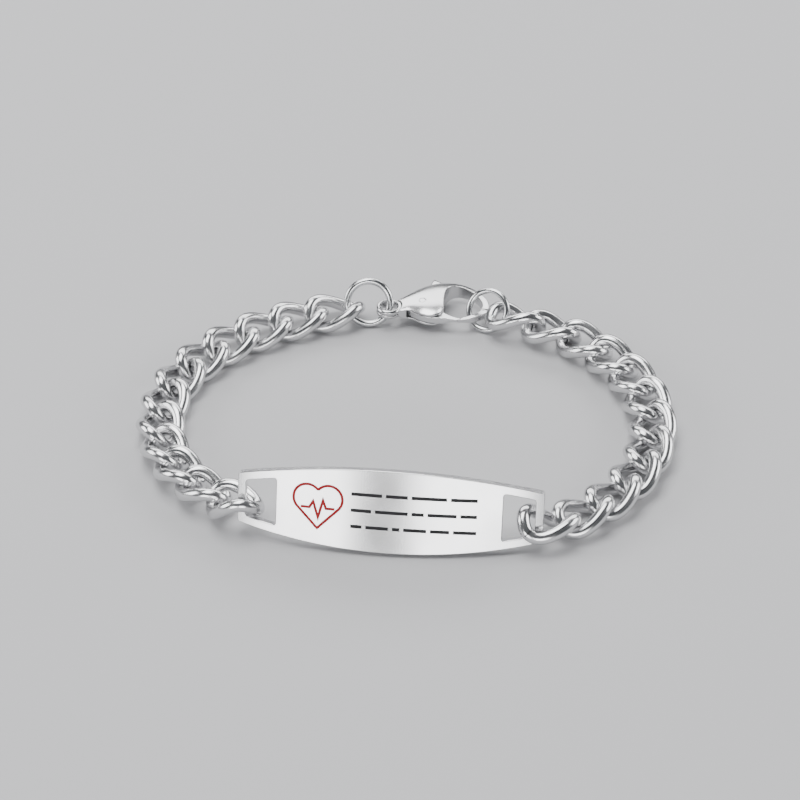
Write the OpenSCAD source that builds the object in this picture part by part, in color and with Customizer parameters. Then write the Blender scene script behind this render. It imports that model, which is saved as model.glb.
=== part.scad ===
// Medical alert bracelet, lying closed on a table: a curved steel identity plate, twisted
// curb links, a jump ring, an end ring and a lobster clasp with a sprung lever.
// X runs along the plate, Y from the plate to the clasp, Z up from the table. Millimetres.

/* [Identity plate] */
// Length of the plate, measured along its bend
plate_len = 43.6; // [40:0.2:48]
// Height of the plate at its middle
plate_mid_w = 11.9; // [10.5:0.1:13.5]
// Height of the plate at its ends
plate_end_w = 7.1; // [6.6:0.1:8]
// Thickness of the plate
plate_t = 1.5; // [1.2:0.1:1.8]
// Radius of the bend round the wrist, at the outer face
plate_bend_r = 86; // [70:1:110]
// Length of the slot at each end
slot_len = 4.6; // [4.2:0.1:5.2]
// Width of the metal left round a slot
slot_rim = 1.2; // [1:0.05:1.4]

/* [Engraving] */
// Width of the heart emblem
emblem_w = 7.4; // [6:0.1:8]
// Width of the emblem's enamelled line
emblem_line = 0.42; // [0.3:0.02:0.5]
// Distance from the plate's middle to the emblem's middle
emblem_offset = 9.9; // [8.5:0.1:11]
// Depth of the enamelled groove
emblem_depth = 0.3; // [0.2:0.05:0.4]
// Play round the enamel in its groove
enamel_play = 0.03; // [0.02:0.01:0.05]
// Depth of the engraved dashes
dash_depth = 0.15; // [0.1:0.05:0.25]
// Height of an engraved dash
dash_h = 0.5; // [0.35:0.05:0.7]
// Distance from one row of dashes to the next
row_pitch = 2.35; // [2:0.05:2.6]
// Length of a row of dashes
row_len = 17.6; // [15:0.1:18.5]
// Distance from the plate's middle to the rows' middle
row_offset = 3.6; // [3:0.1:4]

/* [Chain links] */
// Diameter of the links' wire
wire_d = 1.9; // [1.6:0.05:2]
// Length of a link over its outside
link_len = 10; // [9.4:0.05:10.4]
// Width of a link over its outside, before its twist
link_w = 7.35; // [6.9:0.05:7.6]
// Twist from one end of a link to the other, in degrees
link_twist = 90; // [80:1:96]
// Squareness of a link's outline: 2 is an ellipse
link_squareness = 2.4; // [2.1:0.1:2.8]
// Play between linked wires
link_play = 0.2; // [0.15:0.01:0.3]

/* [Rings] */
// Outer diameter of the jump ring
jump_ring_d = 7.85; // [7.4:0.05:8.4]
// Diameter of the jump ring's wire
jump_wire_d = 1.1; // [0.9:0.05:1.2]
// Outer diameter of the end ring
end_ring_d = 7.2; // [6.8:0.05:7.6]
// Diameter of the end ring's wire
end_wire_d = 0.95; // [0.8:0.05:1]
// Play of a ring in its link
ring_play = 0.4; // [0.35:0.05:0.6]

/* [Clasp] */
// Length of the clasp from the middle of its eye to the bend of its hook
clasp_len = 15.8; // [15:0.1:16.6]
// Width of the clasp from its lever to its back
clasp_w = 9.6; // [9:0.1:10.4]
// Thickness of the clasp's body
clasp_t = 3.2; // [2.8:0.1:3.6]
// Thickness of the hook at its tip
hook_tip_t = 1; // [0.8:0.05:1.2]
// Outer diameter of the eye
eye_d = 4; // [3.8:0.05:4.4]
// Diameter of the eye's hole
eye_hole_d = 2.6; // [2.4:0.05:2.8]
// Thickness of the eye
eye_t = 1.5; // [1.3:0.05:1.8]
// Thickness of the lever
lever_t = 1.1; // [0.9:0.05:1.3]
// Thickness of the lever at its tip
lever_tip_t = 0.8; // [0.6:0.05:0.9]
// Play on each side of the lever
lever_play = 0.08; // [0.05:0.01:0.12]
// Diameter of the lever's pin
pin_d = 1; // [0.8:0.05:1.2]
// Radial play of the lever on its pin
pin_play = 0.04; // [0.03:0.01:0.06]
// Radial play of the pin in the body
pin_seat_play = 0.02; // [0.01:0.01:0.03]

/* [How it lies] */
// Lean of the plate back from upright
plate_lean = 22; // [15:1:28]
// Slope of the jump ring from the table
jump_ring_slope = 60; // [50:1:65]
// Slope of the end ring from the table
end_ring_slope = 52.7; // [48:0.1:58]
// Height of the clasp's eye above the table
eye_h = 2.5; // [2.3:0.05:2.8]
// Fall of the clasp from its eye to its hook, in degrees
clasp_fall = 1.5; // [1:0.1:3]

/* [Hidden] */
// Headings of the links after the first, from the plate to the clasp, in degrees
left_route = [136, 122, 108, 93, 80, 65, 51, 39, 30, 23, 15];
right_route = [35, 48, 61, 74, 87, 100, 113, 125, 136, 152.7, 157];
// Lift of the loop's outer edge, link by link, in degrees
left_lift = [12.5, 10, 7, 6, 6, 8, 10, 11, 11, 9, 5];
right_lift = [7, 9, 10, 10, 10, 10, 9, 8, 6, -9.6, -24.3];
// The link in each slot: heading, roll, pitch, its height on the end bar and its slack from it
left_first = [137, -2, -14, -1.35, 0.35];
right_first = [26, -5, -15.5, -1, 0.8];
// Turn of the plate on the table, and its rocking on its lower edge
plate_turn = -7;
plate_rock = 1;
// The end ring seen from the clasp: its reach inside the hook, its place across, the direction
// in which it slopes, and the last right link's direction and slack from it
end_ring_hold = [3.36, -1.63];
end_ring_facing = -115.6;
end_ring_to_link = -29.4;
end_ring_slack = 0.84;

links_per_side = len(left_route) + 1;
link_sides = 6;
link_stations = 16;
link_half_len = (link_len - wire_d) / 2;
link_half_wid = (link_w - wire_d) / 2;
link_pitch = 2 * link_half_len - wire_d - link_play;
function link_name(side, i) = str("link_", side, "_", i < 10 ? "0" : "", i);

// The emblem's pulse line, as shares of its width, and the rows of dashes in equal units
pulse_shares = [[-0.33, -0.02], [-0.16, -0.02], [-0.09, 0.1], [0.01, -0.2], [0.1, 0.13],
    [0.16, -0.02], [0.33, -0.02]];
dash_rows = [[7, 5, 8, 6], [5, 8, 3, 7, 4], [3, 6, 2, 6, 5, 6]];

// Shapes of the plate
fine = 96;
edge_sag = (plate_mid_w - plate_end_w) / 2;
half_arc = plate_len / 2 / plate_bend_r * 180 / PI;
half_chord = plate_bend_r * sin(half_arc);
edge_r = (half_chord * half_chord + edge_sag * edge_sag) / (2 * edge_sag);
bar_arc = (plate_len - slot_rim) / 2 / plate_bend_r * 180 / PI;

// Outlines of the clasp from the middle of its eye, as shares of its length and width
back_outline = [[0.09, 0.15], [0.14, 0.22], [0.23, 0.35], [0.355, 0.51], [0.52, 0.62],
    [0.685, 0.62], [0.82, 0.515], [0.925, 0.35], [0.985, 0.16], [1, -0.03], [0.975, -0.165],
    [0.91, -0.265], [0.81, -0.34], [0.66, -0.4]];
inner_outline = [[0.66, -0.3], [0.815, -0.235], [0.895, -0.135], [0.935, -0.02], [0.925, 0.13],
    [0.87, 0.31], [0.775, 0.455], [0.68, 0.505], [0.605, 0.445], [0.565, 0.3], [0.545, 0.04],
    [0.54, -0.16]];
belly_outline = [[0.54, -0.16], [0.5, -0.275], [0.42, -0.325], [0.33, -0.285], [0.25, -0.195],
    [0.19, -0.145], [0.13, -0.155], [0.09, -0.13]];
lever_belly = [[0.19, -0.1], [0.25, -0.19], [0.33, -0.28], [0.42, -0.33], [0.55, -0.35], [0.75, -0.4]];
lever_back = [[0.75, -0.3], [0.6, -0.215], [0.51, -0.12], [0.46, 0.03], [0.45, 0.25], [0.48, 0.5],
    [0.545, 0.64], [0.535, 0.7], [0.5, 0.725], [0.46, 0.715], [0.435, 0.66], [0.4, 0.5],
    [0.365, 0.2], [0.28, 0.11], [0.2, 0.02]];
pocket_outline = [[0.17, -0.45], [0.175, 0.05], [0.25, 0.16], [0.3, 0.3], [0.27, 0.75],
    [0.58, 0.75], [0.505, 0.45], [0.49, 0.1], [0.62, 0.1], [0.62, -0.45]];
// The lever's pivot, the meeting of its tip with the hook's, and where the thin hook begins
pivot_share = [0.335, 0.045];
tip_share = [0.69, -0.35];
hook_from = [0.62, -0.1];
pivot = [pivot_share[0] * clasp_len, pivot_share[1] * clasp_w, 0];
lever_reach = norm([(tip_share[0] - pivot_share[0]) * clasp_len, (tip_share[1] - pivot_share[1]) * clasp_w]);
// Half thickness along the clasp, as shares of its length and of the body's thickness
body_profile = [[0.05, 0.27], [0.17, 0.3], [0.28, 0.44], [0.4, 0.5], [0.55, 0.5], [0.7, 0.42],
    [0.82, 0.33], [0.92, 0.24], [1.05, 0.18]];

function rise(roll, wire) = min([for (u = [0:5:355]) let (p = wire_point(u))
    p[1] * sin(roll) + p[2] * cos(roll)]) - wire / 2;
function heading(a) = [cos(a), sin(a), 0];
function sized(shares) = [for (s = shares) [s[0] * clasp_len, s[1] * clasp_w]];
function flat(v) = [v[0], v[1]];

// A smooth open curve through the points of an outline
function spline_point(a, b, c, d, t) = b + t * (c - a) / 2 + t * t * (a - 2.5 * b + 2 * c - d / 2)
    + t * t * t * (1.5 * (b - c) + (d - a) / 2);
function smooth(points, steps = 3) = let (last = len(points) - 1) concat(
    [for (i = [0:last - 1], k = [0:steps - 1]) spline_point(points[max(i - 1, 0)], points[i],
        points[i + 1], points[min(i + 2, last)], k / steps)],
    [points[last]]);

// Middle line of a link's wire: a squared oval, twisted along its length
function wire_point(u) =
    let (c = cos(u), s = sin(u), power = 2 / link_squareness)
    let (x = link_half_len * sign(c) * pow(abs(c), power))
    let (y = link_half_wid * sign(s) * pow(abs(s), power))
    let (turn = -link_twist / 2 * x / link_half_len)
    [x, y * cos(turn), y * sin(turn)];
function unit(v) = v / norm(v);
function wire_ring(u) =
    let (p = wire_point(u), along = unit(wire_point(u + 1) - wire_point(u - 1)))
    let (out = unit(p - along * (along * p)), side = cross(along, out))
    [for (k = [0:link_sides - 1]) let (a = 360 * k / link_sides)
        p + wire_d / 2 * (cos(a) * out + sin(a) * side)];

module curb_link() {
    points = [for (i = [0:link_stations - 1]) each wire_ring(360 * i / link_stations)];
    faces = [for (i = [0:link_stations - 1], k = [0:link_sides - 1])
        let (j = (i + 1) % link_stations, m = (k + 1) % link_sides)
        let (a = i * link_sides + k, b = i * link_sides + m)
        let (c = j * link_sides + m, d = j * link_sides + k)
        each [[a, c, b], [a, d, c]]];
    polyhedron(points, faces);
}

// Where the plate stands: its lowest edge is on the table
function turned(p) =
    let (a = [p[0] * cos(plate_rock) + p[2] * sin(plate_rock), p[1], p[2] * cos(plate_rock) - p[0] * sin(plate_rock)])
    let (b = [a[0], a[1] * cos(plate_lean) + a[2] * sin(plate_lean), a[2] * cos(plate_lean) - a[1] * sin(plate_lean)])
    [b[0] * cos(plate_turn) - b[1] * sin(plate_turn), b[0] * sin(plate_turn) + b[1] * cos(plate_turn), b[2]];
function face_point(arc, across, depth = 0) =
    turned([(plate_bend_r - depth) * sin(arc), plate_bend_r - (plate_bend_r - depth) * cos(arc), across]);
function edge_at(share) = let (x = share * half_chord)
    sqrt(edge_r * edge_r - x * x) - edge_r + plate_mid_w / 2;
plate_h = -min([for (s = [-1:0.05:1], d = [0, plate_t]) face_point(s * half_arc, -edge_at(s), d)[2]]);
plate_at = [0, 0, plate_h];

// The first link of a side holds the end bar, the next ones follow the route
bar_hold = link_half_len - wire_d / 2 - slot_rim / 2;
function direction(yaw, pitch) = [cos(yaw) * cos(pitch), sin(yaw) * cos(pitch), sin(pitch)];
function first_link(side, lie) =
    [plate_at + face_point(side * bar_arc, lie[3], plate_t / 2)
        + (bar_hold - lie[4]) * direction(lie[0], lie[2]),
        [lie[1], -lie[2], lie[0]]];
function next_link(last, yaw, roll) =
    let (z = -rise(roll, wire_d), dz = z - last[0][2], mean = (last[1][2] + yaw) / 2)
    let (reach = sqrt(link_pitch * link_pitch - dz * dz))
    [[last[0][0], last[0][1], z] + reach * heading(mean), [roll, 0, yaw]];
function chain(first, route, lift, sense) = [for (i = 0, link = first; i <= len(route);
    link = i < len(route) ? next_link(link, route[i], sense * lift[i]) : link, i = i + 1) link];

left_chain = chain(first_link(-1, left_first), left_route, left_lift, 1);
right_drawn = chain(first_link(1, right_first), right_route, right_lift, -1);

// The jump ring stands in the last left link and in the clasp's eye
jump_r = (jump_ring_d - jump_wire_d) / 2;
jump_h = jump_wire_d / 2 + jump_r * sin(jump_ring_slope);
last_left = left_chain[links_per_side - 1];
link_reach = link_half_len - wire_d / 2;
jump_at = flat(last_left[0] + (link_reach - jump_wire_d / 2 - ring_play) * heading(last_left[1][2]))
    + [jump_r, 0];
function jump_drop(z) = (z - jump_h) / sin(jump_ring_slope);
eye_drop = jump_drop(eye_h);
eye_at = jump_at + [sqrt(jump_r * jump_r - eye_drop * eye_drop), eye_drop * cos(jump_ring_slope)];

// The end ring passes through the hook and the last right link
end_r = (end_ring_d - end_wire_d) / 2;
end_h = end_wire_d / 2 + end_r * sin(end_ring_slope);
end_ring_in_clasp = [clasp_len + end_r - end_ring_hold[0], end_ring_hold[1]];
link_to_ring = end_r + link_reach - end_wire_d / 2 - end_ring_slack;
last_in_clasp = end_ring_in_clasp
    + link_to_ring * [cos(end_ring_to_link), sin(end_ring_to_link)];

// The right side turns about its first link until it meets the clasp
right_pivot = flat(right_drawn[0][0]);
drawn_span = flat(right_drawn[links_per_side - 1][0]) - right_pivot;
clasp_span = eye_at - right_pivot;
closing_cos = (drawn_span * drawn_span + clasp_span * clasp_span - last_in_clasp * last_in_clasp)
    / (2 * norm(drawn_span) * norm(clasp_span));
closing_turn = atan2(clasp_span[1], clasp_span[0]) - acos(closing_cos) - atan2(drawn_span[1], drawn_span[0]);
function spin(v, a) = [v[0] * cos(a) - v[1] * sin(a), v[0] * sin(a) + v[1] * cos(a)];
function closed_link(link) = let (at = right_pivot + spin(flat(link[0]) - right_pivot, closing_turn))
    [[at[0], at[1], link[0][2]], link[1] + [0, 0, closing_turn]];
right_chain = [for (i = [0:links_per_side - 1]) i == 0 ? right_drawn[0] : closed_link(right_drawn[i])];
last_right = right_chain[links_per_side - 1];
to_last_right = flat(last_right[0]) - eye_at;
clasp_heading = atan2(to_last_right[1], to_last_right[0]) - atan2(last_in_clasp[1], last_in_clasp[0]);
end_ring_at = eye_at + spin(end_ring_in_clasp, clasp_heading);

// The origin is on the table under the middle of everything
function link_reach_x(chain) = [for (link = chain, u = [0:10:350]) let (p = wire_point(u))
    link[0][0] + spin([p[0], p[1] * cos(link[1][0]) - p[2] * sin(link[1][0])], link[1][2])[0]];
function link_reach_y(chain) = [for (link = chain, u = [0:10:350]) let (p = wire_point(u))
    link[0][1] + spin([p[0], p[1] * cos(link[1][0]) - p[2] * sin(link[1][0])], link[1][2])[1]];
back_reach = eye_at[1] + max([for (p = sized(lever_back)) spin(p, clasp_heading)[1]]);
front_reach = min(concat([for (p = link_reach_y(right_chain)) p - wire_d / 2],
    [for (s = [-1:0.05:1], d = [0, plate_t]) face_point(s * half_arc, -edge_at(s), d)[1]]));
middle = [(max(link_reach_x(right_chain)) + min(link_reach_x(left_chain))) / 2,
    (back_reach + front_reach) / 2, 0];

module lie_link(link) {
    translate(link[0] - middle) rotate(link[1]) color("silver") curb_link();
}

module lie_plate() {
    translate(plate_at - middle) rotate([0, 0, plate_turn]) rotate([-plate_lean, 0, 0])
        rotate([0, plate_rock, 0]) children();
}

module lie_clasp() {
    translate([eye_at[0], eye_at[1], eye_h] - middle) rotate([0, clasp_fall, clasp_heading])
        children();
}

// A wall bent round the wrist, between two depths under the plate's outer face
module bent_wall(from_depth, to_depth, tall) {
    translate([0, plate_bend_r, 0]) difference() {
        cylinder(r = plate_bend_r - from_depth, h = tall, center = true, $fn = 4 * fine);
        cylinder(r = plate_bend_r - to_depth, h = tall + 1, center = true, $fn = 4 * fine);
    }
}

// The barrel outline of the plate, less a rim
module barrel(rim) {
    depth = 4 * plate_mid_w;
    intersection_for (side = [-1, 1])
        translate([0, 0, side * (edge_r - plate_mid_w / 2)]) rotate([90, 0, 0])
            cylinder(r = edge_r - rim, h = depth, center = true, $fn = 4 * fine);
}

module end_slots() {
    slot_from = plate_bend_r * sin(half_arc * (1 - 2 * (slot_rim + slot_len) / plate_len));
    slot_to = plate_bend_r * sin(half_arc * (1 - 2 * slot_rim / plate_len));
    for (side = [-1, 1])
        intersection() {
            barrel(slot_rim);
            translate([side * (slot_from + slot_to) / 2, 0, 0])
                cube([slot_to - slot_from, 2 * plate_bend_r, plate_mid_w], center = true);
        }
}

// Cuts or fills between two depths under the outer face, from a flat pattern
module on_face(from_depth, to_depth) {
    intersection() {
        bent_wall(from_depth, to_depth, plate_mid_w);
        rotate([90, 0, 0]) linear_extrude(height = 2 * plate_len, center = true) children();
    }
}

// A heart with its point down, less a rim
module heart(rim) {
    side = emblem_w / (1 + sqrt(1 / 2));
    translate([-emblem_offset, -side * (sqrt(9 / 8) + 0.5) / 2]) rotate(45) {
        difference() {
            translate([rim, rim]) square(side - rim);
            translate([side, side]) circle(r = max(rim, 0.001), $fn = fine);
        }
        translate([side, side / 2]) circle(r = side / 2 - rim, $fn = fine);
        translate([side / 2, side]) circle(r = side / 2 - rim, $fn = fine);
    }
}

module heart_line(play) {
    difference() {
        heart(play);
        heart(emblem_line - play);
    }
}

// A line of a given width along bends, with mitred corners
function miter(points, i) =
    let (last = len(points) - 1, here = points[i])
    let (before = unit(here - points[max(i - 1, 0)] + (i == 0 ? points[1] - here : [0, 0])))
    let (after = unit(points[min(i + 1, last)] - here + (i == last ? here - points[last - 1] : [0, 0])))
    let (across = unit([-before[1] - after[1], before[0] + after[0]]))
    across / (across * [-before[1], before[0]]);
function line_outline(points, width) = let (last = len(points) - 1) concat(
    [for (i = [0:last]) points[i] + miter(points, i) * width / 2],
    [for (i = [last:-1:0]) points[i] - miter(points, i) * width / 2]);

module pulse_line(play) {
    beat = [for (p = pulse_shares) p * emblem_w];
    translate([-emblem_offset, 0]) intersection() {
        polygon(line_outline(beat, emblem_line - 2 * play));
        square([(2 * pulse_shares[len(pulse_shares) - 1][0]) * emblem_w - 2 * play, emblem_w], center = true);
    }
}

// Rows of engraved dashes, each row as long as it is drawn
function total(list, upto) = upto < 0 ? 0 : list[upto] + total(list, upto - 1);
module dashes() {
    for (row = [0:len(dash_rows) - 1]) {
        dashes = dash_rows[row];
        count = len(dashes);
        unit_len = (row_len - (count - 1) * dash_h) / total(dashes, count - 1);
        for (i = [0:count - 1])
            translate([row_offset - row_len / 2 + total(dashes, i - 1) * unit_len + i * dash_h,
                (1 - row) * row_pitch - dash_h / 2])
                square([dashes[i] * unit_len, dash_h]);
    }
}

module id_plate() {
    lie_plate() color("gainsboro") difference() {
        intersection() {
            bent_wall(0, plate_t, 2 * plate_mid_w);
            barrel(0);
            cube([2 * half_chord, plate_bend_r, plate_mid_w], center = true);
        }
        end_slots();
        on_face(-plate_t, emblem_depth) heart_line(0);
        on_face(-plate_t, emblem_depth) pulse_line(0);
        on_face(-plate_t, dash_depth) dashes();
    }
}

module heart_enamel() {
    lie_plate() color("firebrick") on_face(enamel_play, emblem_depth - enamel_play)
        heart_line(enamel_play);
}

module pulse_enamel() {
    lie_plate() color("firebrick") on_face(enamel_play, emblem_depth - enamel_play)
        pulse_line(enamel_play);
}

module torus(ring_r, wire) {
    color("silver") rotate_extrude($fn = fine) translate([ring_r, 0]) circle(d = wire, $fn = fine / 2);
}

module jump_ring() {
    translate([jump_at[0], jump_at[1], jump_h] - middle) rotate([jump_ring_slope, 0, 0])
        torus(jump_r, jump_wire_d);
}

module end_ring() {
    translate([end_ring_at[0], end_ring_at[1], end_h] - middle)
        rotate([0, end_ring_slope, end_ring_facing + clasp_heading]) torus(end_r, end_wire_d);
}

// A slab whose thickness varies along the clasp
module slab(profile) {
    top = [for (p = profile) [p[0] * clasp_len, p[1] * clasp_t]];
    rotate([90, 0, 0]) linear_extrude(height = 4 * clasp_w, center = true)
        polygon(concat(top, [for (i = [len(top) - 1:-1:0]) [top[i][0], -top[i][1]]]));
}

// The eye is turned with a groove round its rim and chamfers in its hole
module eye() {
    h = eye_t / 2;
    r = eye_d / 2;
    hole = eye_hole_d / 2;
    cut = eye_t / 6;
    rotate_extrude($fn = fine) polygon([[hole + cut, -h], [r - cut, -h], [r, cut - h], [r, -cut / 2],
        [r - cut, 0], [r, cut / 2], [r, h - cut], [r - cut, h], [hole + cut, h], [hole, h - cut],
        [hole, cut - h]]);
}

module hook_zone(thick) {
    translate([hook_from[0] * clasp_len, (hook_from[1] - 1) * clasp_w, -thick / 2])
        cube([clasp_len, clasp_w, thick]);
}

module clasp_body() {
    outline = sized(concat(smooth(back_outline), smooth(inner_outline), smooth(belly_outline)));
    lie_clasp() color("silver") difference() {
        union() {
            eye();
            intersection() {
                linear_extrude(height = clasp_t, center = true) polygon(outline);
                union() {
                    difference() {
                        slab(body_profile);
                        hook_zone(2 * clasp_t);
                    }
                    hook_zone(hook_tip_t);
                }
            }
        }
        linear_extrude(height = lever_t + 2 * lever_play, center = true) polygon(sized(pocket_outline));
        translate(pivot) cylinder(d = pin_d + 2 * pin_seat_play, h = 2 * clasp_t, center = true, $fn = fine);
        intersection() {
            translate(pivot) cylinder(r = lever_reach + lever_play, h = clasp_t, center = true, $fn = 2 * fine);
            hook_zone(clasp_t);
        }
    }
}

module clasp_lever() {
    outline = sized(concat(smooth(lever_belly), smooth(lever_back)));
    lie_clasp() color("gray") difference() {
        intersection() {
            linear_extrude(height = lever_t, center = true) polygon(outline);
            slab([[0, lever_t / clasp_t / 2], [hook_from[0] - 0.1, lever_t / clasp_t / 2],
                [hook_from[0], lever_tip_t / clasp_t / 2], [1, lever_tip_t / clasp_t / 2]]);
            translate(pivot) cylinder(r = lever_reach, h = clasp_t, center = true, $fn = 2 * fine);
        }
        translate(pivot) cylinder(d = pin_d + 2 * pin_play, h = clasp_t, center = true, $fn = fine);
    }
}

module clasp_pin() {
    lie_clasp() color("dimgray") translate(pivot)
        cylinder(d = pin_d, h = clasp_t * 2 * body_profile[2][1], center = true, $fn = fine);
}

id_plate();
heart_enamel();
pulse_enamel();
for (i = [1:links_per_side]) {
    lie_link(left_chain[i - 1]);
    lie_link(right_chain[i - 1]);
}
jump_ring();
end_ring();
clasp_body();
clasp_lever();
clasp_pin();
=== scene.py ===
"""Looks of a medical alert bracelet, modelled around its packed construction frame.

Sizes are in millimetres in each piece's own axes and angles in degrees, unless a name or a
docstring says otherwise. Every finished mesh is in metres in the row frame: +X along the
identity plate, +Y from the plate to the clasp, +Z up.
"""

from __future__ import annotations

import logging
import math
from contextlib import contextmanager
from dataclasses import dataclass
from enum import Enum
from typing import Callable, Iterator, Sequence

import bmesh
import bpy
import numpy as np
from mathutils import Matrix, Vector

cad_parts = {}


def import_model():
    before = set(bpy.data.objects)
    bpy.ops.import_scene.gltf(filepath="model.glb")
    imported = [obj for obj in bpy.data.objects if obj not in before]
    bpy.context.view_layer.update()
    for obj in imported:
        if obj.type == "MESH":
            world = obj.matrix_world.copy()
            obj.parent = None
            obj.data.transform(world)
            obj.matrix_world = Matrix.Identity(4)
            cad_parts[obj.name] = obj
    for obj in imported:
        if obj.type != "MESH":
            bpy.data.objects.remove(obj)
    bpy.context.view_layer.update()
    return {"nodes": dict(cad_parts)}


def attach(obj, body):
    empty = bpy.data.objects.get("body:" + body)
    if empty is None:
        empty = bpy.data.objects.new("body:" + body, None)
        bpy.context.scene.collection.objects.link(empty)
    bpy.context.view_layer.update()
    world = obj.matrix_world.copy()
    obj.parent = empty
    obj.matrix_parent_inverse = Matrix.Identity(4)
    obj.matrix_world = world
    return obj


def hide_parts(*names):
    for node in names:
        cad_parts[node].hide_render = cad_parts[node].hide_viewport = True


LOG = logging.getLogger("alert_bracelet")
MM = 0.001
BODY = "bracelet"
LEVER_BODY = "lever"

# Edges sharper than this, in radians, stay crisp in the shading.
SMOOTH_ANGLE = math.radians(40)
# How far each round of smoothing moves a vertex towards its neighbours.
SMOOTH_FACTOR = 0.5
# Steps between two bends of a wire's curve, and the fineness of its round section.
CURVE_STEPS = 2
WIRE_ROUNDNESS = 8
# Vertices of a swept shape, and of a construction node's copy, that are nearer are doubles.
SWEPT_MERGE_M = 1e-6
COPY_MERGE_M = 1e-7
# Two sizes that are nearer are the same.
NEAR_MM = 0.01


class Slot(Enum):
    """Names of material slots for the steel pieces."""

    PLATE = "plate_steel"
    CHAIN = "chain_steel"
    RING = "ring_steel"
    CLASP = "clasp_steel"


class Part(Enum):
    """What is picked in edit mode, and the name of its list in a mesh."""

    FACE = "faces"
    EDGE = "edges"


def linear(colour: str) -> tuple[float, ...]:
    """Turns an sRGB hex colour into linear values.

    Args:
        colour: The colour, such as "#C8C8CA".

    Returns:
        Red, green, blue and an alpha of 1.
    """
    values = (int(colour[i : i + 2], 16) / 255 for i in (1, 3, 5))
    channels = [v / 12.92 if v <= 0.04045 else ((v + 0.055) / 1.055) ** 2.4 for v in values]
    return (*channels, 1.0)


def new_material(name: str, constants: dict[str, object]) -> bpy.types.Material:
    """Makes a material with constants on its shader's own sockets.

    Args:
        name: The material's name.
        constants: The value of each named socket.

    Returns:
        The material.
    """
    made = bpy.data.materials.new(name)
    made.use_nodes = True
    sockets = made.node_tree.nodes["Principled BSDF"].inputs
    for socket, value in constants.items():
        sockets[socket].default_value = value
    return made


def add_node(
    tree: bpy.types.NodeTree,
    kind: str,
    inputs: dict[str | int, object] | None = None,
    **settings: object,
) -> bpy.types.Node:
    """Adds a shader node with its settings, values and links.

    Args:
        tree: The node tree.
        kind: The node's type.
        inputs: A value, or an output socket to link, for each named or numbered input.
        **settings: Attributes of the node.

    Returns:
        The new node.
    """
    node = tree.nodes.new(kind)
    for name, value in settings.items():
        setattr(node, name, value)
    for name, value in (inputs or {}).items():
        if isinstance(value, bpy.types.NodeSocket):
            tree.links.new(value, node.inputs[name])
        else:
            node.inputs[name].default_value = value
    return node


@dataclass(frozen=True)
class PolishedSteel:
    """Stainless steel 316L, tumbled and buffed: near mirror, with faint smears and a fine grain.

    The grain stands for scratches of about 0.01 mm and is drawn coarser, so that it shows.
    """

    name: str
    colour: str
    roughness: float
    smear: float = 0.07
    smear_mm: float = 2.5
    smear_detail: float = 4.0
    smear_range: tuple[float, float] = (0.35, 0.7)
    grain_mm: float = 0.12
    grain_depth_mm: float = 0.0006
    grain_detail: float = 2.0
    grain_stretch: tuple[float, float, float] = (1.0, 1.0, 1.0)

    def material(self) -> bpy.types.Material:
        """Makes the material, its patterns sized in millimetres.

        Returns:
            The material.
        """
        made = new_material(self.name, {"Base Color": linear(self.colour), "Metallic": 1.0})
        tree = made.node_tree
        shader = tree.nodes["Principled BSDF"]
        place = add_node(tree, "ShaderNodeTexCoord").outputs["Object"]
        smears = add_node(
            tree,
            "ShaderNodeTexNoise",
            {"Vector": place, "Scale": 1 / (self.smear_mm * MM), "Detail": self.smear_detail},
        )
        gloss = add_node(
            tree,
            "ShaderNodeMapRange",
            {
                "Value": smears.outputs[0],
                "From Min": self.smear_range[0],
                "From Max": self.smear_range[1],
                "To Min": self.roughness,
                "To Max": self.roughness + self.smear,
            },
        )
        tree.links.new(gloss.outputs[0], shader.inputs["Roughness"])
        stretched = add_node(
            tree, "ShaderNodeMapping", {"Vector": place, "Scale": self.grain_stretch}
        )
        grain = add_node(
            tree,
            "ShaderNodeTexNoise",
            {
                "Vector": stretched.outputs[0],
                "Scale": 1 / (self.grain_mm * MM),
                "Detail": self.grain_detail,
            },
        )
        bump = add_node(
            tree,
            "ShaderNodeBump",
            {"Height": grain.outputs[0], "Distance": self.grain_depth_mm * MM, "Strength": 1.0},
        )
        tree.links.new(bump.outputs[0], shader.inputs["Normal"])
        return made


@dataclass(frozen=True)
class FiredEnamel:
    """Hard enamel, fired in a groove and rubbed level: dull, with a slightly uneven colour."""

    name: str
    colour: str
    thin_colour: str
    roughness: float = 0.45
    gloss: float = 0.2
    cloud_mm: float = 0.8
    cloud_range: tuple[float, float] = (0.35, 0.75)

    def material(self) -> bpy.types.Material:
        """Makes the material, its clouds sized in millimetres.

        Returns:
            The material.
        """
        made = new_material(
            self.name, {"Roughness": self.roughness, "Specular IOR Level": self.gloss}
        )
        tree = made.node_tree
        place = add_node(tree, "ShaderNodeTexCoord").outputs["Object"]
        clouds = add_node(
            tree, "ShaderNodeTexNoise", {"Vector": place, "Scale": 1 / (self.cloud_mm * MM)}
        )
        ramp = add_node(tree, "ShaderNodeValToRGB", {"Fac": clouds.outputs[0]})
        colours = (self.colour, self.thin_colour)
        for i, (position, colour) in enumerate(zip(self.cloud_range, colours)):
            ramp.color_ramp.elements[i].position = position
            ramp.color_ramp.elements[i].color = linear(colour)
        tree.links.new(ramp.outputs[0], tree.nodes["Principled BSDF"].inputs["Base Color"])
        return made


# The links: satin-bright, their reflections soft streaks along the wire.
CHAIN_STEEL = PolishedSteel("tumbled_316L_wire", colour="#D8D8D9", roughness=0.19, smear=0.08)
# The rings: a little sharper and darker, with a finer grain.
RING_STEEL = PolishedSteel("drawn_316L_wire", colour="#D2D3D4", roughness=0.18, grain_mm=0.08)
# The clasp: soft reflections that change slowly over its domed cheeks.
CLASP_STEEL = PolishedSteel(
    "cast_and_buffed_316L", colour="#D2D2D3", roughness=0.2, smear_mm=3.5
)
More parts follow.
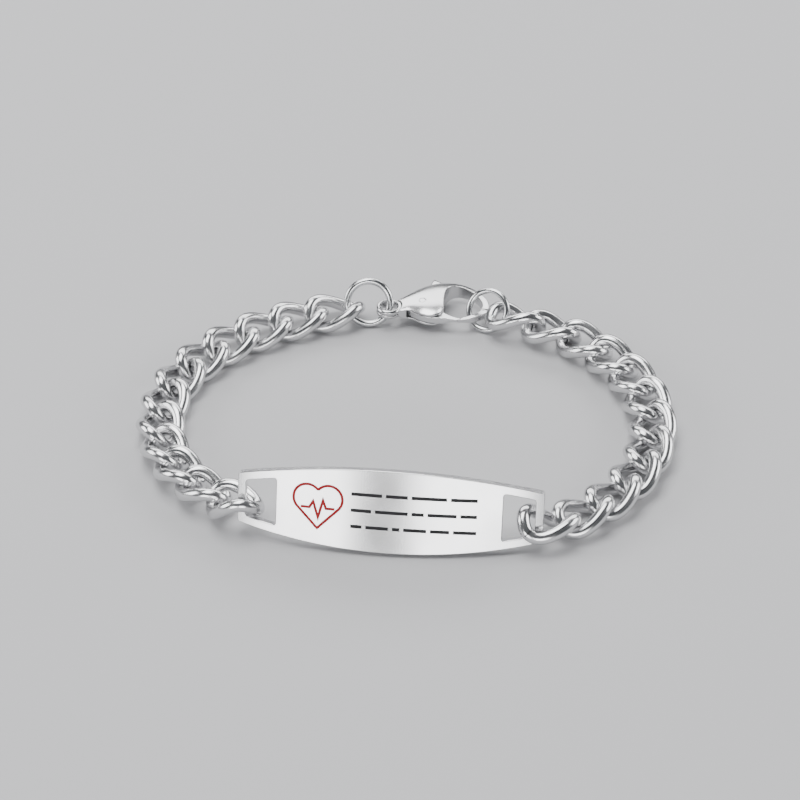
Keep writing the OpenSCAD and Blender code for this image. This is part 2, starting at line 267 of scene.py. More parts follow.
# The plate: an even bright sheet with a faint grain along its length.
PLATE_STEEL = PolishedSteel(
    "buffed_316L_sheet",
    colour="#D0D0D1",
    roughness=0.17,
    smear=0.05,
    smear_mm=6.0,
    grain_mm=0.6,
    grain_depth_mm=0.0008,
    grain_stretch=(0.25, 4.0, 4.0),
)
# The emblem's outline, deep red, and the dashes, near black.
RED_ENAMEL = FiredEnamel("fired_red_enamel", "#8C0A0F", "#A01418")
BLACK_ENAMEL = FiredEnamel("fired_black_enamel", "#101012", "#1C1C20")


def into_scene(thing: bpy.types.Object) -> bpy.types.Object:
    """Links a new object to the scene, and returns it."""
    bpy.context.scene.collection.objects.link(thing)
    return thing


def deselect() -> None:
    """Leaves object mode with nothing selected."""
    if bpy.context.object and bpy.context.object.mode != "OBJECT":
        bpy.ops.object.mode_set(mode="OBJECT")
    bpy.ops.object.select_all(action="DESELECT")


def activate(piece: bpy.types.Object) -> None:
    """Makes a piece the only selected and active one.

    Args:
        piece: The piece.
    """
    deselect()
    piece.select_set(True)
    bpy.context.view_layer.objects.active = piece


def apply_modifier(piece: bpy.types.Object, kind: str, **settings: object) -> None:
    """Adds a modifier to a piece and applies it.

    Args:
        piece: The piece.
        kind: The modifier's type.
        **settings: Attributes of the modifier.
    """
    activate(piece)
    modifier = piece.modifiers.new(kind.title(), kind)
    for name, value in settings.items():
        setattr(modifier, name, value)
    bpy.ops.object.modifier_apply(modifier=modifier.name)


@contextmanager
def whole_mesh(piece: bpy.types.Object) -> Iterator[None]:
    """Edits a piece with its whole mesh selected, and leaves edit mode at the end.

    Args:
        piece: The piece.

    Yields:
        Nothing, while the piece is in edit mode.
    """
    activate(piece)
    bpy.ops.object.mode_set(mode="EDIT")
    bpy.ops.mesh.select_all(action="SELECT")
    yield
    bpy.ops.object.mode_set(mode="OBJECT")


@contextmanager
def picked(piece: bpy.types.Object, part: Part, test: Callable[..., bool]) -> Iterator[None]:
    """Edits a piece with only some faces or edges selected, and leaves edit mode at the end.

    Args:
        piece: The piece.
        part: Whether faces or edges are picked.
        test: Says whether a face or an edge is picked.

    Yields:
        Nothing, while the piece is in edit mode.
    """
    activate(piece)
    bpy.ops.object.mode_set(mode="EDIT")
    bpy.ops.mesh.select_mode(type=part.name)
    bpy.ops.mesh.select_all(action="DESELECT")
    shape = bmesh.from_edit_mesh(piece.data)
    for member in getattr(shape, part.value):
        if test(member):
            member.select_set(True)
    shape.select_flush_mode()
    bmesh.update_edit_mesh(piece.data)
    yield
    bpy.ops.object.mode_set(mode="OBJECT")


def close_skin(piece: bpy.types.Object) -> None:
    """Merges a swept mesh's doubles, turns its faces outwards and smooths its shading.

    Args:
        piece: The wire or the turned shape.
    """
    with whole_mesh(piece):
        bpy.ops.mesh.remove_doubles(threshold=SWEPT_MERGE_M)
        bpy.ops.mesh.normals_make_consistent(inside=False)
    bpy.ops.object.shade_smooth_by_angle(angle=SMOOTH_ANGLE)


def node_points(node: bpy.types.Object) -> np.ndarray:
    """The distinct points of a construction node, in metres."""
    points = np.array([v.co for v in node.data.vertices], float)
    return np.unique(points.round(8), axis=0)


def own_axes(node: bpy.types.Object) -> Matrix:
    """Finds how a node lies from its own shape.

    Args:
        node: A construction node whose three extents differ, or a ring.

    Returns:
        The matrix from its own axes to the row frame. The first is the longest and runs round
        the loop, the last is the shortest and points up.
    """
    points = node_points(node)
    middle = points.mean(0)
    _, axes = np.linalg.eigh(np.cov((points - middle).T))
    longest, shortest = axes[:, 2], axes[:, 0]
    if longest[1] * middle[0] - longest[0] * middle[1] < 0:
        longest = -longest
    if shortest[2] < 0:
        shortest = -shortest
    turn = np.column_stack([longest, np.cross(shortest, longest), shortest])
    return Matrix.Translation(Vector(middle)) @ Matrix(turn.tolist()).to_4x4()


def rounded(line: np.ndarray, count: int) -> np.ndarray:
    """Rounds the kinks of a line.

    Args:
        line: The line's values at even distances.
        count: Over how many values a kink is rounded, an odd number.

    Returns:
        The rounded values.
    """
    window = np.hanning(count + 2)[1:-1]
    padded = np.pad(line, count // 2, mode="reflect", reflect_type="odd")
    return np.convolve(padded, window / window.sum(), "valid")


def copy_of(node: bpy.types.Object) -> bpy.types.Object:
    """Copies a construction node's mesh into a new object, its loose triangles merged.

    Args:
        node: The construction node, which stays as it is.

    Returns:
        The copy.
    """
    made = into_scene(bpy.data.objects.new(f"{node.name}_copy", node.data.copy()))
    made.data.materials.clear()
    with whole_mesh(made):
        bpy.ops.mesh.remove_doubles(threshold=COPY_MERGE_M)
    return made


def dress(piece: bpy.types.Object, finish: bpy.types.Material) -> None:
    """Gives a piece or a construction node its only material, and reports it.

    Args:
        piece: The piece or the node.
        finish: The material.
    """
    piece.data.materials.clear()
    piece.data.materials.append(finish)
    LOG.info("%s: %s, %d faces", piece.name, finish.name, len(piece.data.polygons))


def settle(
    piece: bpy.types.Object,
    name: str,
    body: str,
    finish: bpy.types.Material,
    node: str,
) -> None:
    """Names a finished piece, dresses it, ties it to its body and hides the construction node that
    it stands for.

    Args:
        piece: The piece, its place in its mesh.
        name: Its name.
        body: The body that it rides on.
        finish: Its material.
        node: The construction node that it stands for.
    """
    piece.name = name
    piece.data.name = name
    dress(piece, finish)
    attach(piece, body)
    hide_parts(node)


def wire_loop(
    path: Callable[[float], Vector],
    wire: float,
    points: int,
    opening: float = 0.0,
) -> bpy.types.Object:
    """Bends a round wire along a loop, as a curve that is then made a mesh.

    Args:
        path: The wire's middle line, in millimetres, for a share of the way round from 0 to 1.
        wire: The wire's diameter.
        points: Points along the loop, a multiple of the 4 that a new circle has.
        opening: The share of the loop that stays open, or 0 for a closed loop.

    Returns:
        The wire, in metres in its own axes.
    """
    deselect()
    bpy.ops.curve.primitive_bezier_circle_add()
    loop = bpy.context.object
    bpy.ops.object.mode_set(mode="EDIT")
    bpy.ops.curve.select_all(action="SELECT")
    bpy.ops.curve.subdivide(number_cuts=points // 4 - 1)
    if opening:
        bpy.ops.curve.cyclic_toggle()
    bpy.ops.object.mode_set(mode="OBJECT")
    bends = loop.data.splines[0].bezier_points
    last = len(bends) - 1 if opening else len(bends)
    for i, bend in enumerate(bends):
        bend.co = path(opening / 2 + (1 - opening) * i / last) * MM
        bend.handle_left_type = bend.handle_right_type = "AUTO"
        bend.tilt = 0
        bend.radius = 1
    loop.data.dimensions = "3D"
    loop.data.resolution_u = CURVE_STEPS
    loop.data.bevel_depth = wire / 2 * MM
    loop.data.bevel_resolution = WIRE_ROUNDNESS
    loop.data.use_fill_caps = bool(opening)
    bpy.ops.object.convert(target="MESH")
    close_skin(loop)
    return loop


@dataclass
class CurbChain:
    """Twisted curb links of round welded wire, one for each construction node."""

    nodes: Sequence[bpy.types.Object]
    length: float = 10.0
    width: float = 7.35
    wire: float = 1.9
    twist: float = 90.0
    squareness: float = 2.4
    points: int = 64
    # The weld seam: its place round the link, its groove, how near to it a vertex counts, and
    # the step along the wire that gives its direction there.
    seam_angle: float = 205.0
    seam_width: float = 0.16
    seam_depth: float = 0.4
    seam_reach: float = 0.02
    seam_step: float = 0.001

    def path(self, share: float) -> Vector:
        """The middle line of a link's wire: a squared oval, twisted along its length.

        Args:
            share: The share of the way round from the seam.

        Returns:
            The place there.
        """
        angle = 2 * math.pi * share + math.radians(self.seam_angle)
        cosine, sine = math.cos(angle), math.sin(angle)
        half_length, half_width = (self.length - self.wire) / 2, (self.width - self.wire) / 2
        x = half_length * math.copysign(abs(cosine) ** (2 / self.squareness), cosine)
        y = half_width * math.copysign(abs(sine) ** (2 / self.squareness), sine)
        turn = -math.radians(self.twist / 2) * x / half_length
        return Vector((x, y * math.cos(turn), y * math.sin(turn)))

    def seam(self, link: bpy.types.Object) -> None:
        """Sinks a fine groove round the wire where its ends were welded.

        Args:
            link: The link, in its own axes.
        """
        middle = self.path(0) * MM
        along = ((self.path(self.seam_step) - self.path(-self.seam_step)) * MM).normalized()

        def at_seam(place: Vector) -> bool:
            """Says whether a place lies on the welded cut through the wire."""
            out = place - middle
            return abs(out @ along) < self.seam_reach * MM and out.length < self.wire * MM

        with picked(link, Part.EDGE, lambda edge: all(at_seam(v.co) for v in edge.verts)):
            bpy.ops.mesh.bevel(offset=self.seam_width / 2 * MM, segments=2, affect="EDGES")
        for vertex in link.data.vertices:
            if at_seam(vertex.co):
                vertex.co = middle + (vertex.co - middle) * (1 - self.seam_depth)
        bpy.ops.object.shade_smooth_by_angle(angle=SMOOTH_ANGLE)

    def build(self) -> None:
        """Bends one link, then lays a copy of it where each node lies."""
        steel = CHAIN_STEEL.material()
        pattern = wire_loop(self.path, self.wire, self.points)
        self.seam(pattern)
        for node in self.nodes:
            link = pattern.copy()
            link.data = pattern.data.copy()
            into_scene(link)
            link.data.transform(own_axes(node))
            settle(link, f"curb_{node.name}", BODY, steel, node.name)
        bpy.data.objects.remove(pattern)


@dataclass
class WireRing:
    """A jump ring: drawn wire wound to a ring and closed butt to butt."""

    node: bpy.types.Object
    outside: float
    wire: float
    butt_gap: float = 0.06
    points: int = 96

    def path(self, share: float) -> Vector:
        """The middle line of the ring's wire.

        Args:
            share: The share of the way round from the butt joint.

        Returns:
            The place there.
        """
        angle = 2 * math.pi * share
        radius = (self.outside - self.wire) / 2
        return Vector((radius * math.cos(angle), radius * math.sin(angle), 0))

    def build(self, steel: bpy.types.Material) -> None:
        """Winds the ring and lays it where its node lies.

        Args:
            steel: The wire's material.
        """
        opening = self.butt_gap / (math.pi * (self.outside - self.wire))
        ring = wire_loop(self.path, self.wire, self.points, opening=opening)
        ring.data.transform(own_axes(self.node))
        settle(ring, f"wire_{self.node.name}", BODY, steel, self.node.name)


@dataclass
class IdentityPlate:
    """The buffed plate: a barrel outline, end slots, an enamelled emblem and filled dashes."""

    # How the plate lies in the row frame, and its bend round the wrist.
    place: tuple[float, float, float] = (-2.7858, -29.7465, 6.1032)
    turn: float = -7.0
    lean: float = 22.0
    rock: float = 1.0
    bend_radius: float = 86.0

    # The outline between its two long arcs, the slots' near and far ends, and the steps of the
    # flat grid that they are cut from.
    half_length: float = 21.567
    half_height: float = 5.95
    edge_radius: float = 98.106
    thickness: float = 1.5
    rim: float = 1.2
    slot: tuple[float, float] = (15.908, 20.404)
    end_steps: int = 4
    slot_steps: int = 12
    middle_steps: int = 72

    # The rounded corners and the broken edges.
    corner: float = 0.45
    corner_steps: int = 5
    edge: float = 0.1
    edge_steps: int = 3
    sharp_angle: float = 50.0

    # The emblem's groove: its play round the enamel, how far its cutter is lifted out of the
    # plate, and how near the vertices of a cut's slivers are merged.
    groove_play: float = 0.03
    groove_lift: float = 0.06
    cut_merge: float = 0.0005

    # The dashes: how each row is shared out, and their grooves and fills.
    dash_rows: tuple[tuple[int, ...], ...] = ((7, 5, 8, 6), (5, 8, 3, 7, 4), (3, 6, 2, 6, 5, 6))
    dash_height: float = 0.5
    dash_depth: float = 0.15
    dash_play: float = 0.02
    dash_cutter_rise: float = 0.3
    dash_cuts: int = 7
    row_pitch: float = 2.35
    row_length: float = 17.6
    row_middle: float = 3.6

    def edge_at(self, x: float) -> float:
        """Half of the plate's height at a place along it."""
        return math.sqrt(self.edge_radius**2 - x * x) - self.edge_radius + self.half_height

    def stand(self) -> Matrix:
        """The matrix from the plate's own axes to the row frame."""
        return (
            Matrix.Translation(Vector(self.place) * MM)
            @ Matrix.Rotation(math.radians(self.turn), 4, "Z")
            @ Matrix.Rotation(math.radians(-self.lean), 4, "X")
            @ Matrix.Rotation(math.radians(self.rock), 4, "Y")
        )

    def bend(self, piece: bpy.types.Object) -> None:
        """Bends a flat piece round the wrist and stands it where the plate is.

        Args:
            piece: The piece, in metres, with the plate's outer face in the plane y = 0.
        """
        for vertex in piece.data.vertices:
            x, depth, z = vertex.co / MM
            bent = self.bend_radius - math.sqrt((self.bend_radius - depth) ** 2 - x * x)
            vertex.co = Vector((x, bent, z)) * MM
        piece.data.transform(self.stand())

    def columns(self) -> np.ndarray:
        """Divides the plate along its length, with a column at each end of each slot.

        Returns:
            The columns' places, from the left end to the right.
        """
        near, far = self.slot
        stops = (-self.half_length, -far, -near, near, far, self.half_length)
        steps = (
            self.end_steps,
            self.slot_steps,
            self.middle_steps,
            self.slot_steps,
            self.end_steps,
        )
        spans = [np.linspace(*span, endpoint=False) for span in zip(stops, stops[1:], steps)]
        return np.append(np.concatenate(spans), self.half_length)

    def in_slot(self, face: bmesh.types.BMFace) -> bool:
        """Says whether a face of the flat grid lies in one of the two slots.

        Args:
            face: The face.

        Returns:
            Whether it is cut away.
        """
        middle = face.calc_center_median() / MM
        near, far = self.slot
        return near < abs(middle.x) < far and abs(middle.z) < self.edge_at(middle.x) - self.rim

    def is_corner(self, edge: bmesh.types.BMEdge) -> bool:
        """Says whether an edge runs through the plate at a corner of its outline or of a slot.

        Args:
            edge: The edge.

        Returns:
            Whether it is rounded.
        """
        one, two = (v.co / MM for v in edge.verts)
        if abs(one.x - two.x) > NEAR_MM or abs(one.z - two.z) > NEAR_MM:
            return False
        x, z, top = abs(one.x), abs(one.z), self.edge_at(one.x)
        at_end = abs(x - self.half_length) < NEAR_MM and abs(z - top) < NEAR_MM
        at_slot = min(abs(x - s) for s in self.slot) < NEAR_MM and abs(z - top + self.rim) < NEAR_MM
        return at_end or at_slot

    def blank(self) -> bpy.types.Object:
        """Cuts the flat plate with its slots, rounds its corners and breaks its edges.

        Returns:
            The plate, in metres, with its outer face in the plane y = 0.
        """
        columns = self.columns()
        steps_along, steps_up = len(columns) - 1, 5
        deselect()
        bpy.ops.mesh.primitive_grid_add(
            x_subdivisions=steps_along, y_subdivisions=steps_up, size=2
        )
        plate = bpy.context.object
        for vertex in plate.data.vertices:
            x = float(columns[round((vertex.co.x + 1) / 2 * steps_along)])
            top, inner = self.edge_at(x), self.edge_at(x) - self.rim
            rows = (-top, -inner, -inner / 3, inner / 3, inner, top)
            z = rows[round((vertex.co.y + 1) / 2 * steps_up)]
            vertex.co = Vector((x, 0, z)) * MM
        with picked(plate, Part.FACE, self.in_slot):
            bpy.ops.mesh.delete(type="FACE")
        apply_modifier(plate, "SOLIDIFY", thickness=self.thickness * MM, offset=-1)
        with picked(plate, Part.EDGE, self.is_corner):
            bpy.ops.mesh.bevel(
                offset=self.corner * MM, segments=self.corner_steps, affect="EDGES"
            )
            bpy.ops.mesh.select_all(action="DESELECT")
            bpy.ops.mesh.edges_select_sharp(sharpness=math.radians(self.sharp_angle))
            bpy.ops.mesh.bevel(offset=self.edge * MM, segments=self.edge_steps, affect="EDGES")
        return plate

    def dashes(self, play: float, top: float, bottom: float) -> bpy.types.Object:
        """Makes the rows of dashes as bars, bent and in place.

        Args:
            play: How much each bar is smaller all round than its groove.
            top: Depth of the bars' outer faces, or less than 0 to stand out.
            bottom: Depth of their inner faces.

        Returns:
            The bars, as one piece.
        """
        deselect()
        bars = []
        for row, shares in enumerate(self.dash_rows):
            unit = (self.row_length - (len(shares) - 1) * self.dash_height) / sum(shares)
            left = self.row_middle - self.row_length / 2
            for share in shares:
                length = share * unit
                middle = (left + length / 2, (top + bottom) / 2, (1 - row) * self.row_pitch)
                size = (length - 2 * play, bottom - top, self.dash_height - 2 * play)
                bpy.ops.mesh.primitive_cube_add(
                    size=1, location=Vector(middle) * MM, scale=Vector(size) * MM
                )
                bars.append(bpy.context.object)
                left += length + self.dash_height
        for bar in bars:
            bar.select_set(True)
        bpy.ops.object.join()
        joined = bpy.context.object
        bpy.ops.object.transform_apply(location=True, rotation=True, scale=True)

        def runs_along(edge: bmesh.types.BMEdge) -> bool:
            """Says whether an edge runs along its bar."""
            return abs(edge.verts[0].co.x - edge.verts[1].co.x) > NEAR_MM * MM

        with picked(joined, Part.EDGE, runs_along):
            bpy.ops.mesh.subdivide(number_cuts=self.dash_cuts)
        self.bend(joined)
        return joined

    def cut(self, plate: bpy.types.Object, cutter: bpy.types.Object) -> None:
        """Cuts a groove in the plate and throws the cutter away.

        Args:
            plate: The plate.
            cutter: The cutter's shape, in place.
        """
        grown = Matrix.Scale(1 / MM, 4)
        plate.data.transform(grown)
        cutter.data.transform(grown)
        apply_modifier(plate, "BOOLEAN", operation="DIFFERENCE", solver="EXACT", object=cutter)
        with whole_mesh(plate):
            bpy.ops.mesh.remove_doubles(threshold=self.cut_merge)
            bpy.ops.mesh.dissolve_degenerate(threshold=self.cut_merge)
        plate.data.transform(grown.inverted())
        bpy.data.objects.remove(cutter)

    def build(self, heart: bpy.types.Object, pulse: bpy.types.Object) -> None:
        """Makes the plate and its enamel.

        Args:
            heart: The construction node of the emblem's outline.
            pulse: The construction node of its pulse line.
        """
        plate = self.blank()
        self.bend(plate)
        lift = self.stand().to_3x3() @ Vector((0, -self.groove_lift * MM, 0))
        for enamel in (heart, pulse):
            cutter = copy_of(enamel)
            apply_modifier(cutter, "DISPLACE", strength=self.groove_play * MM, mid_level=0)
            cutter.data.transform(Matrix.Translation(lift))
            self.cut(plate, cutter)
        self.cut(plate, self.dashes(0, -self.dash_cutter_rise, self.dash_depth))
        settle(plate, "engraved_plate", BODY, PLATE_STEEL.material(), "id_plate")
        red = RED_ENAMEL.material()
        for enamel in (heart, pulse):
            dress(enamel, red)
        fill = self.dashes(self.dash_play, self.dash_play, self.dash_depth)
        fill.name = "dash_enamel"
        dress(fill, BLACK_ENAMEL.material())
        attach(fill, BODY)


@dataclass
class LobsterClasp:
    """A cast clasp: domed cheeks, a scooped hook, a grooved eye, a sprung lever and its pin."""

    body: bpy.types.Object
    lever: bpy.types.Object
    pin: bpy.types.Object

    # The eye's middle in the row frame, and how the clasp lies there.
    eye_place: tuple[float, float, float] = (-2.1362, 26.0495, 2.5)
    fall: float = 1.5
    heading: float = -0.1372

    # The castings' skin: the size of its faces, and rounds of smoothing.
    voxel: float = 0.085
    body_smoothing: int = 4
    lever_smoothing: int = 5

    # The turned eye, and how far the casting's own eye is tucked into it.
    eye_radius: float = 2.0
    hole_radius: float = 1.3
    eye_height: float = 1.5
    eye_edge: float = 0.1
    eye_steps: int = 96
    tuck_margin: float = 0.05
    tuck: float = 0.25

    # The cheeks: half of the lever's slot, the share of their rise that the outline keeps, the
    # dome, and half of the thickness of the solid at places along it.
    slot_half: float = 0.66
    thin_edge: float = 0.34
    dome_power: float = 3.4
    dome_rounding: int = 41
    least_wall: float = 0.02
    skin: float = 0.06
    half_thickness: tuple[tuple[float, float], ...] = (
        (0.79, 0.864),
        (2.686, 0.96),
        (4.424, 1.408),
        (6.32, 1.6),
        (8.69, 1.6),
        (11.06, 1.344),
        (12.956, 1.056),
        (14.536, 0.768),
        (16.59, 0.576),
    )

    # Where the body's outline is measured along the clasp, and the gap of its mouth.
    first_station: float = -1.9
    station_step: float = 0.1
    slice_half: float = 0.12
    open_mouth: tuple[float, float] = (7.9, 10.7)
    outline_rounding: int = 11
    least_depth: float = 0.5

    # The point where the hook and the lever meet, and how they thin towards it.
    meeting: tuple[float, float] = (10.9, -3.12)
    hook_slope: float = 0.23
    lever_slope: float = -0.32
    taper_length: float = 2.6
    taper_share: float = 0.42
    taper_below: float = -1.0

    # The lever's thumb nub, which starts inside of the body.
    lever_half: float = 0.55
    nub_from: float = 5.0
    nub_length: float = 2.0
    nub_middle: float = 7.6
    nub_rise: float = 1.45
    nub_round: float = 0.2
    nub_crown: float = 0.5
    nub_blend: float = 0.3
    nub_smoothing: int = 24

    def frame(self) -> Matrix:
        """The matrix from the clasp's own axes to the row frame."""
        return (
            Matrix.Translation(Vector(self.eye_place) * MM)
            @ Matrix.Rotation(math.radians(self.heading), 4, "Z")
            @ Matrix.Rotation(math.radians(self.fall), 4, "Y")
        )

    def cast(self, node: bpy.types.Object) -> bpy.types.Object:
        """Copies a node in the clasp's own axes and remeshes it evenly, as a casting's skin.

        Args:
            node: The construction node.

        Returns:
            The casting, in metres in the clasp's own axes.
        """
        casting = copy_of(node)
        casting.data.transform(self.frame().inverted())
        apply_modifier(
            casting, "REMESH", mode="VOXEL", voxel_size=self.voxel * MM, use_smooth_shade=True
        )
        return casting

    def outline(
        self, points: np.ndarray, stations: np.ndarray
    ) -> tuple[np.ndarray, np.ndarray]:
        """Measures the body's outline, with its open mouth bridged.

        Args:
            points: The casting's vertices, in millimetres.
            stations: Places along the clasp.

        Returns:
            How far across the clasp the back and the belly are, at each vertex.
        """
        x, y = points[:, 0], points[:, 1]
        slices = [y[np.abs(x - station) < self.slice_half] for station in stations]
        back = np.array([part.max() for part in slices])
        belly = np.array([part.min() for part in slices])
        shut = (stations < self.open_mouth[0]) | (stations > self.open_mouth[1])
        belly = np.interp(stations, stations[shut], belly[shut])
        return (
            np.interp(x, stations, rounded(back, self.outline_rounding)),
            np.interp(x, stations, rounded(belly, self.outline_rounding)),
        )

    def crown(self, casting: bpy.types.Object) -> None:
        """Crowns the cheeks and the hook, so that they thin towards their outline.

        Args:
            casting: The clasp's body.
        """
        points = np.array([v.co for v in casting.data.vertices]) / MM
        x, y, height = points[:, 0], points[:, 1], np.abs(points[:, 2])
        stations = np.arange(self.first_station, x.max(), self.station_step)
        back, belly = self.outline(points, stations)
        depth = np.maximum(back - belly, self.least_depth)
        across = np.clip(np.abs(2 * y - back - belly) / depth, 0, 1)
        keep = 1 - (1 - self.thin_edge) * across**self.dome_power
        along, halves = np.transpose(self.half_thickness)
        flat = np.interp(x, along, halves)
        dome = rounded(np.interp(stations, along, halves), self.dome_rounding)
        wall = np.interp(x, stations, dome) - self.slot_half
        top = self.slot_half + np.maximum(wall, self.least_wall) * keep
        share = (height - self.slot_half) / np.maximum(flat - self.slot_half, self.least_wall)
        share = np.where(height > flat - self.skin, 1, np.clip(share, 0, 1))
        raised = self.slot_half + (top - self.slot_half) * share
        above = height > self.slot_half
        points[above, 2] = np.copysign(raised, points[:, 2])[above]
        self.tuck_eye(points)
        for vertex, point in zip(casting.data.vertices, points):
            vertex.co = Vector(point) * MM

    def tuck_eye(self, points: np.ndarray) -> None:
        """Tucks the casting's own eye inside of the turned one that covers it.

        Args:
            points: The casting's vertices, in millimetres, which are moved.
        """
        out = np.hypot(points[:, 0], points[:, 1])
        inside = out < self.eye_radius + self.tuck_margin
        middle_radius = (self.eye_radius + self.hole_radius) / 2
        ring = points[:, :2] * (middle_radius / np.maximum(out, NEAR_MM))[:, None]
        points[inside, :2] += (ring[inside] - points[inside, :2]) * self.tuck
        points[inside, 2] *= 1 - self.tuck

    def taper(self, casting: bpy.types.Object, slope: float) -> None:
        """Tapers the lever's or the hook's end towards the point where the two meet.

        Args:
            casting: The lever or the body.
            slope: How much its middle line moves across for each millimetre along the clasp.
        """
        for vertex in casting.data.vertices:
            x, y, z = vertex.co / MM
            near = 1 - abs(x - self.meeting[0]) / self.taper_length
            if y > self.taper_below or near <= 0:
                continue
            middle = self.meeting[1] + slope * (x - self.meeting[0])
            keep = 1 - self.taper_share * near * near * (3 - 2 * near)
            vertex.co = Vector((x, middle + (y - middle) * keep, z * keep)) * MM

    def shape_nub(self, lever: bpy.types.Object) -> None:
        """Rounds the lever's thumb nub and stands it a little prouder of the clasp's back.

        Args:
            lever: The lever.
        """
        for vertex in lever.data.vertices:
            x, y, z = vertex.co / MM
            out = min(1.0, (y - self.nub_from) / self.nub_length)
            if out <= 0:
                continue
            keep = math.sqrt(1 - self.nub_round * out**4)
            rise = self.nub_rise - self.nub_crown * (z / self.lever_half) ** 2
            x = self.nub_middle + (x - self.nub_middle) * keep
            vertex.co = Vector((x, y + rise * out * out, z * keep)) * MM
        nub = lever.vertex_groups.new(name="nub")
        start = (self.nub_from + self.nub_blend) * MM
        nub.add([v.index for v in lever.data.vertices if v.co.y > start], 1.0, "REPLACE")
        apply_modifier(
            lever,
            "SMOOTH",
            factor=SMOOTH_FACTOR,
            iterations=self.nub_smoothing,
            vertex_group=nub.name,
        )

    def turned_eye(self) -> bpy.types.Object:
        """Turns the eye, with a groove between its two rims and rounded edges.

        Returns:
            The eye, in metres in the clasp's own axes.
        """
        outer, hole = self.eye_radius, self.hole_radius
        half, cut = self.eye_height / 2, self.eye_height / 6
        profile = [
            (hole + cut, -half),
            (outer - cut, -half),
            (outer, cut - half),
            (outer, -cut / 2),
            (outer - cut, 0),
            (outer, cut / 2),
            (outer, half - cut),
            (outer - cut, half),
            (hole + cut, half),
            (hole, half - cut),
            (hole, cut - half),
        ]
        deselect()
        bpy.ops.mesh.primitive_circle_add(vertices=len(profile))
        eye = bpy.context.object
        for vertex, (across, up) in zip(eye.data.vertices, profile):
            vertex.co = Vector((across, 0, up)) * MM
        with whole_mesh(eye):
            bpy.ops.mesh.bevel(offset=self.eye_edge * MM, segments=3, affect="VERTICES")
            bpy.ops.mesh.spin(
                steps=self.eye_steps, angle=2 * math.pi, center=(0, 0, 0), axis=(0, 0, 1)
            )
        close_skin(eye)
        return eye

    def build(self) -> None:
        """Makes the body and the lever, and dresses the pin."""
        steel = CLASP_STEEL.material()
        casting = self.cast(self.body)
        self.crown(casting)
        self.taper(casting, self.hook_slope)
        apply_modifier(casting, "SMOOTH", factor=SMOOTH_FACTOR, iterations=self.body_smoothing)
        eye = self.turned_eye()
        activate(casting)
        eye.select_set(True)
        bpy.ops.object.join()
        casting.data.transform(self.frame())
        settle(casting, "cast_clasp_body", BODY, steel, "clasp_body")
        lever = self.cast(self.lever)
        self.taper(lever, self.lever_slope)
        self.shape_nub(lever)
        apply_modifier(lever, "SMOOTH", factor=SMOOTH_FACTOR, iterations=self.lever_smoothing)
        lever.data.transform(self.frame())
        settle(lever, "cast_clasp_lever", LEVER_BODY, steel, "clasp_lever")
        dress(self.pin, steel)


@dataclass(frozen=True)
class Softbox:
    """A soft light that faces the bracelet, its place and its width and height in metres."""

    name: str
    place: tuple[float, float, float]
    size: tuple[float, float]
    watts: float

    def hang(self) -> None:
        """Hangs the light in its place."""
        light = bpy.data.lights.new(self.name, "AREA")
        light.shape = "RECTANGLE"
        light.size, light.size_y = self.size
        light.energy = self.watts
        box = into_scene(bpy.data.objects.new(self.name, light))
        box.location = self.place
        box.rotation_euler = Vector(self.place).to_track_quat("Z", "Y").to_euler()


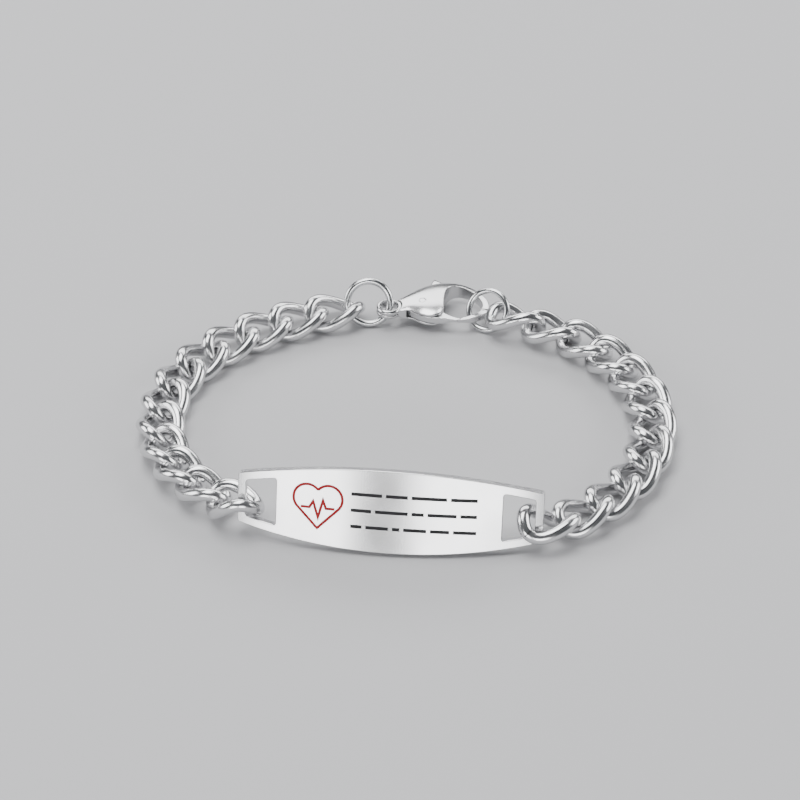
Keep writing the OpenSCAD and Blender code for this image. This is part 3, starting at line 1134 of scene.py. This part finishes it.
@dataclass
class Studio:
    """The pale floor, the soft lights in a dim room and the camera."""

    floor_m: float = 6.0
    floor_drop_m: float = 0.00002
    paper: str = "#BABABC"
    paper_roughness: float = 0.9

    room: str = "#8A8C90"
    room_light: float = 0.4
    softboxes: tuple[Softbox, ...] = (
        Softbox("overhead", (-0.15, 0.1, 0.9), (0.8, 0.5), 9),
        Softbox("back", (0.1, 0.95, 0.68), (1.5, 0.5), 11),
        Softbox("left", (-0.9, 0.1, 0.4), (0.6, 0.5), 5.5),
        Softbox("right", (0.9, 0.1, 0.4), (0.6, 0.5), 5.5),
        Softbox("front", (-0.2, -1.1, 0.2), (1.7, 0.4), 1.7),
        Softbox("front_left", (-0.385, -0.645, 0.14), (0.3, 0.3), 1.7),
        Softbox("front_right", (0.055, -0.75, 0.14), (0.32, 0.3), 1.8),
    )

    lens_mm: float = 111.6
    sensor_mm: float = 36.0
    nearest_m: float = 0.01
    distance_mm: float = 376.1
    elevation: float = 36.18
    roll: float = -1.27
    aim_mm: tuple[float, float, float] = (-0.72, 5.11, 0.0)

    def build(self) -> None:
        """Sets up everything round the bracelet."""
        self.floor()
        self.lights()
        self.camera()

    def floor(self) -> None:
        """Lays a plain pale floor of matt paper just under the bracelet."""
        deselect()
        bpy.ops.mesh.primitive_plane_add(size=self.floor_m, location=(0, 0, -self.floor_drop_m))
        floor = bpy.context.object
        floor.name = "studio_floor"
        constants = {"Base Color": linear(self.paper), "Roughness": self.paper_roughness}
        dress(floor, new_material("matt_paper", constants))

    def lights(self) -> None:
        """Hangs the softboxes in a dim room, so that the steel shows bright and dark streaks."""
        for softbox in self.softboxes:
            softbox.hang()
        world = bpy.data.worlds.new("dim_room")
        world.use_nodes = True
        background = world.node_tree.nodes["Background"].inputs
        background["Color"].default_value = linear(self.room)
        background["Strength"].default_value = self.room_light
        bpy.context.scene.world = world

    def camera(self) -> None:
        """Puts the camera at the photograph's viewing angle."""
        lens = bpy.data.cameras.new("photo_camera")
        lens.lens = self.lens_mm
        lens.sensor_width = self.sensor_mm
        lens.clip_start = self.nearest_m
        camera = into_scene(bpy.data.objects.new("photo_camera", lens))
        aim = Vector(self.aim_mm) * MM
        tilt = math.radians(self.elevation)
        back = Vector((0, -math.cos(tilt), math.sin(tilt)))
        camera.location = aim + back * self.distance_mm * MM
        level = (-back).to_track_quat("-Z", "Y").to_matrix().to_4x4()
        roll = Matrix.Rotation(math.radians(self.roll), 4, "Z")
        camera.rotation_euler = (level @ roll).to_euler()
        bpy.context.scene.camera = camera


def main() -> None:
    """Builds every piece in order."""
    logging.basicConfig(level=logging.INFO, format="%(message)s")
    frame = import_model()
    nodes = frame["nodes"]
    Studio().build()
    CurbChain([node for name, node in sorted(nodes.items()) if name.startswith("link_")]).build()
    steel = RING_STEEL.material()
    WireRing(nodes["jump_ring"], outside=7.85, wire=1.1).build(steel)
    WireRing(nodes["end_ring"], outside=7.2, wire=0.95).build(steel)
    IdentityPlate().build(nodes["heart_enamel"], nodes["pulse_enamel"])
    LobsterClasp(nodes["clasp_body"], nodes["clasp_lever"], nodes["clasp_pin"]).build()


if __name__ == "__main__":
    main()
